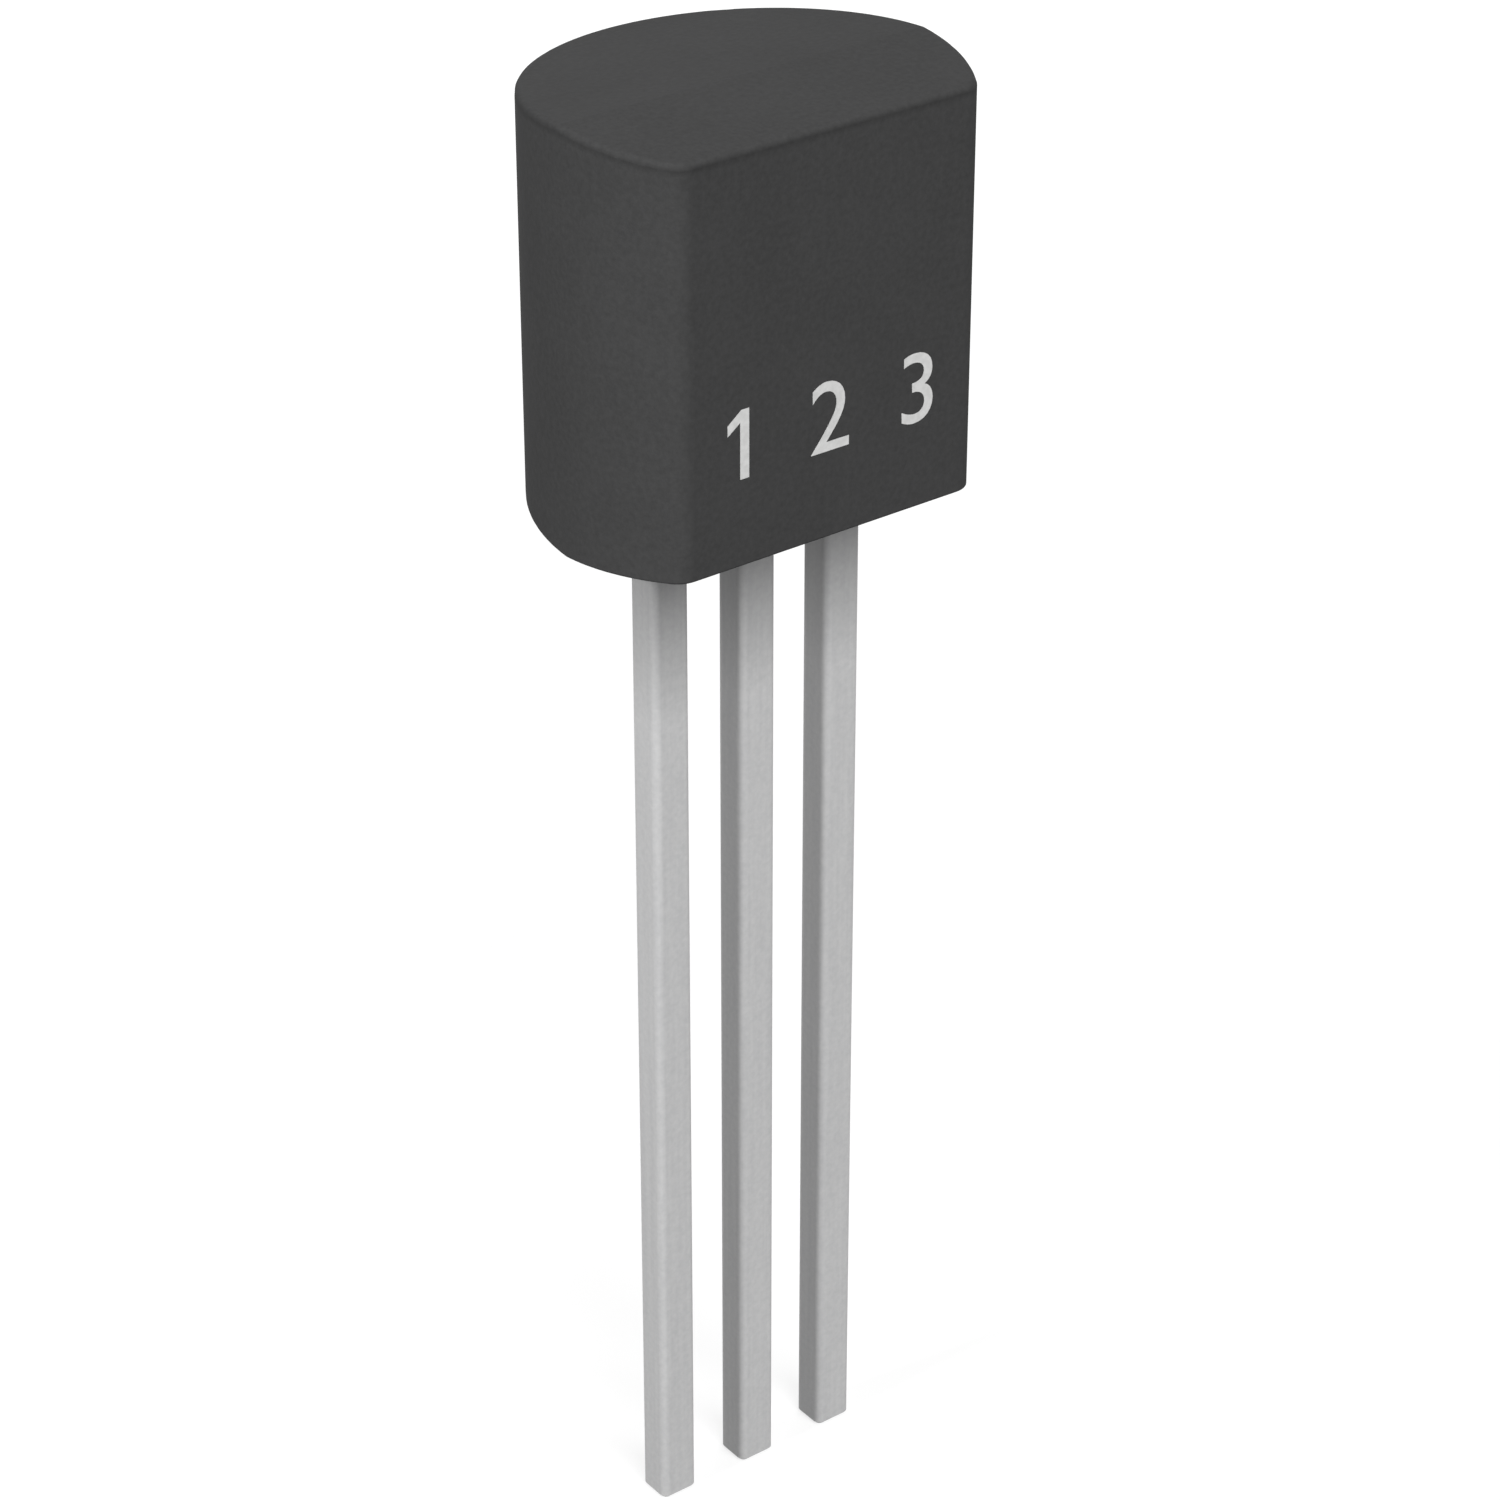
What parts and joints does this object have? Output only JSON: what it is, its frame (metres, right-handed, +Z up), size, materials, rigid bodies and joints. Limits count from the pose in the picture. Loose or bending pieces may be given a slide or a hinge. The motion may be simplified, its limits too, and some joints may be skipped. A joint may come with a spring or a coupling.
{
  "type": "through-hole transistor",
  "caption": "Through-hole transistor: a D-shaped moulded body over a row of straight leads, with the lead frame, silicon chip and bond wires inside.",
  "frame": {"origin": "on the centre lead's axis, level with the underside of the body, where the part meets the space above a board", "axes": "+Z runs up from the lead tips into the body, +X along the row of leads from emitter to collector, and the flat front faces -Y"},
  "size_m": [0.0052, 0.0042, 0.0192],
  "materials": {
    "moulding_compound": "fine matte charcoal moulding compound",
    "tinned_leads": "satin grey tin plating",
    "silicon": "polished grey silicon",
    "bond_wire": "bright drawn wire"
  },
  "bodies": {
    "root": {"moulded_body": "moulding_compound", "emitter_lead": "tinned_leads", "base_lead": "tinned_leads", "collector_lead": "tinned_leads", "silicon_chip": "silicon", "emitter_bond_wire": "bond_wire", "base_bond_wire": "bond_wire"}
  },
  "joints": []
}
